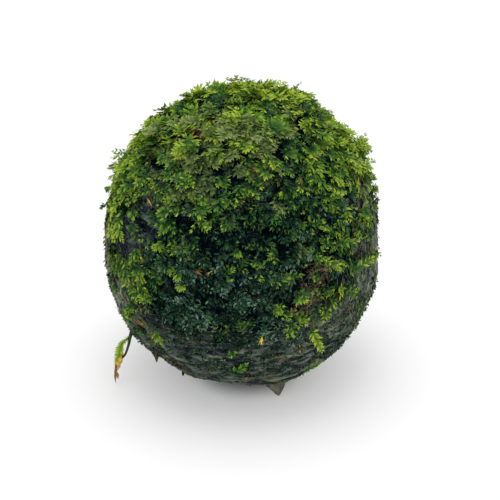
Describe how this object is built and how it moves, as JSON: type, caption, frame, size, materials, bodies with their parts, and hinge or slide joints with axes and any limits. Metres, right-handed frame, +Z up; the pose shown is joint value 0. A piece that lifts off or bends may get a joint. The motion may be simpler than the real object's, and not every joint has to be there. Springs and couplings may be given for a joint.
{
  "type": "java moss on lava rock",
  "caption": "Aquarium moss grown as a shaggy coat over a rounded, pitted lump of lava rock, standing on a small flat spot, with a young shoot hanging free at the foot.",
  "frame": {"origin": "middle of the flat spot of the stone that the piece stands on", "axes": "+Z up through the lump, out of the flat spot; -Y towards the front seen in the picture; +X to the viewer's right"},
  "size_m": [0.0813, 0.08, 0.0866],
  "materials": {
    "lava_stone": "wet, dark, finely pitted lava rock",
    "java_moss": "wet moss, bright yellow-green tips over dark green",
    "young_shoot": "wet green shoot with a brown withered tip"
  },
  "bodies": {
    "root": {"lava_rock": "lava_stone", "moss_coat": "java_moss", "hanging_sprig": "young_shoot"}
  },
  "joints": []
}
